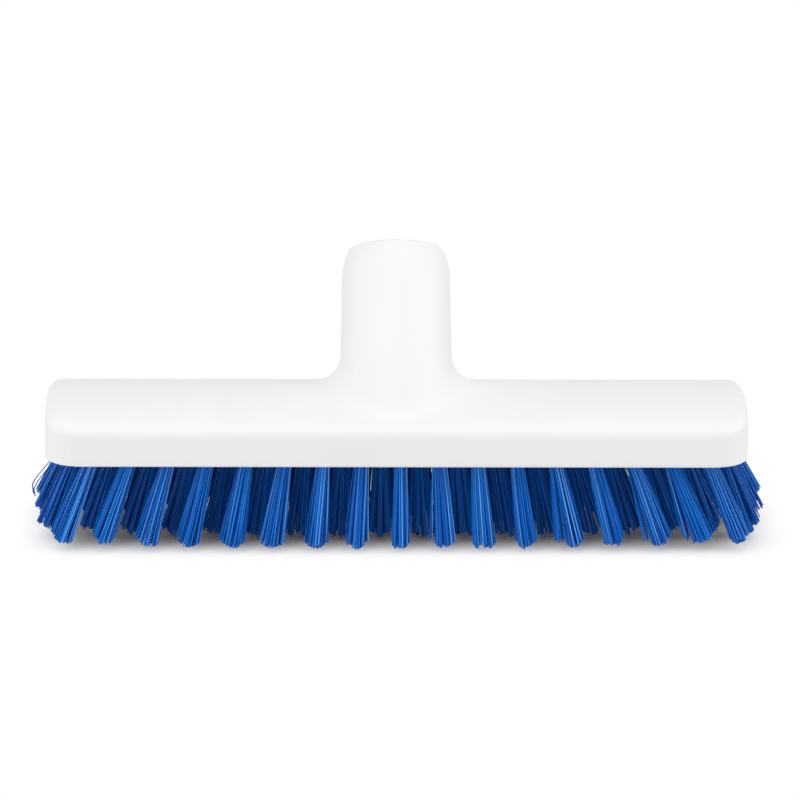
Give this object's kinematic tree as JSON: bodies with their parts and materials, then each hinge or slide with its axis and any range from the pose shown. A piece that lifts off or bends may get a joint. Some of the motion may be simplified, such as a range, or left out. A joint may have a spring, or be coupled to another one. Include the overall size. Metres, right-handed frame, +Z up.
{
  "type": "scrub brush",
  "caption": "Scrub brush head: a long crowned plastic block with a leaning handle socket on top and rows of stiff bristle tufts that fan out below.",
  "frame": {"origin": "on the floor under the middle of the block, in the plane that the bristle tips stand on", "axes": "+X along the block, to the right as seen from the front; +Y to the back, the way the handle socket leans; +Z up"},
  "size_m": [0.2416, 0.0667, 0.0961],
  "materials": {
    "block_plastic": "satin moulded polypropylene, white",
    "filament": "stiff extruded filament, blue",
    "anchor_wire": "flat drawn wire, galvanised"
  },
  "bodies": {
    "root": {"back_anchors": "anchor_wire", "back_tuft_01": "filament", "back_tuft_02": "filament", "back_tuft_03": "filament", "back_tuft_04": "filament", "back_tuft_05": "filament", "back_tuft_06": "filament", "back_tuft_07": "filament", "back_tuft_08": "filament", "back_tuft_09": "filament", "back_tuft_10": "filament", "back_tuft_11": "filament", "back_tuft_12": "filament", "back_tuft_13": "filament", "back_tuft_14": "filament", "back_tuft_15": "filament", "back_tuft_16": "filament", "back_tuft_17": "filament", "back_tuft_18": "filament", "block": "block_plastic", "front_anchors": "anchor_wire", "front_tuft_01": "filament", "front_tuft_02": "filament", "front_tuft_03": "filament", "front_tuft_04": "filament", "front_tuft_05": "filament", "front_tuft_06": "filament", "front_tuft_07": "filament", "front_tuft_08": "filament", "front_tuft_09": "filament", "front_tuft_10": "filament", "front_tuft_11": "filament", "front_tuft_12": "filament", "front_tuft_13": "filament", "front_tuft_14": "filament", "front_tuft_15": "filament", "front_tuft_16": "filament", "front_tuft_17": "filament", "inner_back_anchors": "anchor_wire", "inner_back_tuft_middle": "filament", "inner_back_tuft_pair_1": "filament", "inner_back_tuft_pair_2": "filament", "inner_back_tuft_pair_3": "filament", "inner_back_tuft_pair_4": "filament", "inner_back_tuft_pair_5": "filament", "inner_back_tuft_pair_6": "filament", "inner_back_tuft_pair_7": "filament", "inner_back_tuft_pair_8": "filament", "inner_front_anchors": "anchor_wire", "inner_front_tuft_pair_1": "filament", "inner_front_tuft_pair_2": "filament", "inner_front_tuft_pair_3": "filament", "inner_front_tuft_pair_4": "filament", "inner_front_tuft_pair_5": "filament", "inner_front_tuft_pair_6": "filament", "inner_front_tuft_pair_7": "filament", "inner_front_tuft_pair_8": "filament", "inner_front_tuft_pair_9": "filament"}
  },
  "joints": []
}
